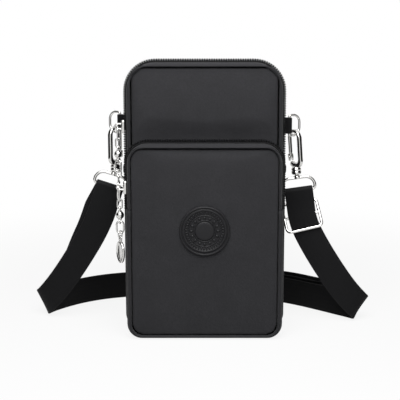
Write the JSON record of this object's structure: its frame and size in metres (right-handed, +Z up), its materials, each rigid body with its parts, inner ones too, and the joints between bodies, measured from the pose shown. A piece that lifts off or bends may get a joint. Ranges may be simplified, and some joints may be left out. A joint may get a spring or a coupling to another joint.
{
  "type": "phone pouch",
  "caption": "Padded upright phone pouch with a zipped main compartment, a zipped front pocket, chain zip pulls and a webbing strap on swivel snap hooks.",
  "frame": {"origin": "under the middle of the pouch, on the surface that it stands on", "axes": "+X to the right seen from the front, +Y from the pocket's face to the rear panel, +Z up"},
  "size_m": [0.2439, 0.1154, 0.1905],
  "materials": {
    "shell_fabric": "matt black woven nylon",
    "padding": "grey foam padding",
    "lining": "thin smooth black lining",
    "zip_tape": "black woven zip tape",
    "zip_teeth": "black coil teeth",
    "badge_rubber": "black moulded rubber",
    "webbing": "satin black webbing",
    "bright_metal": "polished nickel plate"
  },
  "bodies": {
    "bag": {"pocket_panel": "shell_fabric", "pocket_padding": "padding", "pocket_lining": "lining", "main_front_panel": "shell_fabric", "main_front_padding": "padding", "main_front_lining": "lining", "rear_panel": "shell_fabric", "rear_padding": "padding", "rear_lining": "lining", "pocket_front_gusset": "shell_fabric", "pocket_rear_gusset": "shell_fabric", "pocket_bottom_gusset": "shell_fabric", "main_front_gusset": "shell_fabric", "main_rear_gusset": "shell_fabric", "main_bottom_gusset": "shell_fabric", "pocket_zip_tape_front": "zip_tape", "pocket_zip_tape_rear": "zip_tape", "main_zip_tape_front": "zip_tape", "main_zip_tape_rear": "zip_tape", "pocket_zip_chain": "zip_teeth", "main_zip_chain": "zip_teeth", "pocket_zip_stops": "shell_fabric", "main_zip_stops": "shell_fabric", "badge": "badge_rubber", "left_tab": "webbing", "right_tab": "webbing", "strap_left_run": "webbing", "strap_left_tail": "webbing", "strap_back_folds": "webbing", "strap_right_run": "webbing"},
    "main_slider": {"main_slider": "bright_metal"},
    "main_pull_ring": {"main_pull_ring": "bright_metal"},
    "main_pull_link": {"main_pull_link": "bright_metal"},
    "main_pull_bead": {"main_pull_bead": "bright_metal"},
    "main_pull_oval_link": {"main_pull_oval_link": "bright_metal"},
    "main_pull_jump_ring": {"main_pull_jump_ring": "bright_metal"},
    "main_pull_pendant": {"main_pull_pendant": "bright_metal"},
    "pocket_slider": {"pocket_slider": "bright_metal"},
    "pocket_pull_ring": {"pocket_pull_ring": "bright_metal"},
    "pocket_pull_link": {"pocket_pull_link": "bright_metal"},
    "pocket_pull_bead": {"pocket_pull_bead": "bright_metal"},
    "pocket_pull_oval_link": {"pocket_pull_oval_link": "bright_metal"},
    "pocket_pull_jump_ring": {"pocket_pull_jump_ring": "bright_metal"},
    "pocket_pull_pendant": {"pocket_pull_pendant": "bright_metal"},
    "left_eye": {"left_eye": "bright_metal", "left_strap_loop": "webbing"},
    "left_d_ring": {"left_d_ring": "bright_metal"},
    "left_hook": {"left_hook": "bright_metal", "left_gate_pin": "bright_metal"},
    "left_gate": {"left_gate": "bright_metal"},
    "right_eye": {"right_eye": "bright_metal", "right_strap_loop": "webbing"},
    "right_d_ring": {"right_d_ring": "bright_metal"},
    "right_hook": {"right_hook": "bright_metal", "right_gate_pin": "bright_metal"},
    "right_gate": {"right_gate": "bright_metal"},
    "adjuster": {"adjuster_frame": "bright_metal", "adjuster_bar": "bright_metal", "strap_fixed_end": "webbing"}
  },
  "joints": [
    {"name": "main_zip_slide", "type": "slide", "parent": "bag", "child": "main_slider", "axis": [0, 0, 1], "range_m": [-0.022, 0.019]},
    {"name": "main_pull_ring_swing", "type": "hinge", "parent": "main_slider", "child": "main_pull_ring", "pos_m": [-0.06025, 0.008, 0.1435], "axis": [0, 1, 0], "range_deg": [0, 35]},
    {"name": "main_pull_link_swing", "type": "hinge", "parent": "main_pull_ring", "child": "main_pull_link", "pos_m": [-0.06025, 0.008, 0.1337], "axis": [0, 1, 0], "range_deg": [0, 25]},
    {"name": "main_pull_bead_swing", "type": "hinge", "parent": "main_pull_link", "child": "main_pull_bead", "pos_m": [-0.06025, 0.008, 0.12855], "axis": [1, 0, 0], "range_deg": [-20, 8]},
    {"name": "main_pull_oval_link_swing", "type": "hinge", "parent": "main_pull_bead", "child": "main_pull_oval_link", "pos_m": [-0.06025, 0.008, 0.1183], "axis": [0, 1, 0], "range_deg": [0, 15]},
    {"name": "main_pull_jump_ring_swing", "type": "hinge", "parent": "main_pull_oval_link", "child": "main_pull_jump_ring", "pos_m": [-0.06025, 0.008, 0.11155], "axis": [0.866, -0.5, 0], "range_deg": [-8, 8]},
    {"name": "main_pull_pendant_swing", "type": "hinge", "parent": "main_pull_jump_ring", "child": "main_pull_pendant", "pos_m": [-0.06025, 0.008, 0.10813], "axis": [0.866, 0.5, 0], "range_deg": [-5, 20]},
    {"name": "pocket_zip_slide", "type": "slide", "parent": "bag", "child": "pocket_slider", "axis": [0, 0, 1], "range_m": [-0.009, 0.011]},
    {"name": "pocket_pull_ring_swing", "type": "hinge", "parent": "pocket_slider", "child": "pocket_pull_ring", "pos_m": [-0.05775, -0.015, 0.105], "axis": [0, 1, 0], "range_deg": [0, 35]},
    {"name": "pocket_pull_link_swing", "type": "hinge", "parent": "pocket_pull_ring", "child": "pocket_pull_link", "pos_m": [-0.05775, -0.015, 0.0952], "axis": [0, 1, 0], "range_deg": [0, 25]},
    {"name": "pocket_pull_bead_swing", "type": "hinge", "parent": "pocket_pull_link", "child": "pocket_pull_bead", "pos_m": [-0.05775, -0.015, 0.09005], "axis": [1, 0, 0], "range_deg": [-20, 15]},
    {"name": "pocket_pull_oval_link_swing", "type": "hinge", "parent": "pocket_pull_bead", "child": "pocket_pull_oval_link", "pos_m": [-0.05775, -0.015, 0.0798], "axis": [0, 1, 0], "range_deg": [0, 25]},
    {"name": "pocket_pull_jump_ring_swing", "type": "hinge", "parent": "pocket_pull_oval_link", "child": "pocket_pull_jump_ring", "pos_m": [-0.05775, -0.015, 0.07305], "axis": [1, 0, 0], "range_deg": [-8, 8]},
    {"name": "pocket_pull_pendant_swing", "type": "hinge", "parent": "pocket_pull_jump_ring", "child": "pocket_pull_pendant", "pos_m": [-0.05775, -0.015, 0.06963], "axis": [0.515, 0.8572, 0], "range_deg": [-5, 20]},
    {"name": "left_strap_swing", "type": "hinge", "parent": "bag", "child": "left_eye", "pos_m": [-0.05938, 0.019, 0.145], "axis": [0, 0, 1], "range_deg": [-14, 20], "deforming": ["strap_left_run", "strap_left_tail"]},
    {"name": "left_ring_swing", "type": "hinge", "parent": "bag", "child": "left_d_ring", "pos_m": [-0.05938, 0.019, 0.145], "axis": [0, 0, 1], "range_deg": [-14, 20]},
    {"name": "left_hook_swivel", "type": "hinge", "parent": "left_eye", "child": "left_hook", "pos_m": [-0.06329, 0.02164, 0.13789], "axis": [0, 0, 1], "range_deg": [-12, 12]},
    {"name": "left_gate_swing", "type": "hinge", "parent": "left_hook", "child": "left_gate", "pos_m": [-0.06025, 0.02598, 0.12209], "axis": [0.8192, -0.5736, 0], "range_deg": [0, 12], "stiffness_Nm_per_rad": 0.02, "springref_deg": -17.19},
    {"name": "right_strap_swing", "type": "hinge", "parent": "bag", "child": "right_eye", "pos_m": [0.05938, 0.019, 0.1427], "axis": [0, 0, 1], "range_deg": [-20, 12], "deforming": ["strap_right_run"]},
    {"name": "right_ring_swing", "type": "hinge", "parent": "bag", "child": "right_d_ring", "pos_m": [0.05938, 0.019, 0.1427], "axis": [0, 0, 1], "range_deg": [-20, 12]},
    {"name": "right_hook_swivel", "type": "hinge", "parent": "right_eye", "child": "right_hook", "pos_m": [0.06329, 0.02164, 0.13559], "axis": [-0.0698, 0, 0.9976], "range_deg": [-12, 12]},
    {"name": "right_gate_swing", "type": "hinge", "parent": "right_hook", "child": "right_gate", "pos_m": [0.06136, 0.02598, 0.11962], "axis": [0.8172, 0.5736, 0.0571], "range_deg": [0, 12], "stiffness_Nm_per_rad": 0.02, "springref_deg": -17.19},
    {"name": "adjuster_slide", "type": "slide", "parent": "right_eye", "child": "adjuster", "axis": [-0.2296, 0.1015, 0.968], "range_m": [-0.012, 0], "deforming": ["strap_fixed_end"]}
  ],
  "couplings": [
    {"joint": "left_ring_swing", "follows": "left_strap_swing", "ratio": 1},
    {"joint": "right_ring_swing", "follows": "right_strap_swing", "ratio": 1}
  ]
}
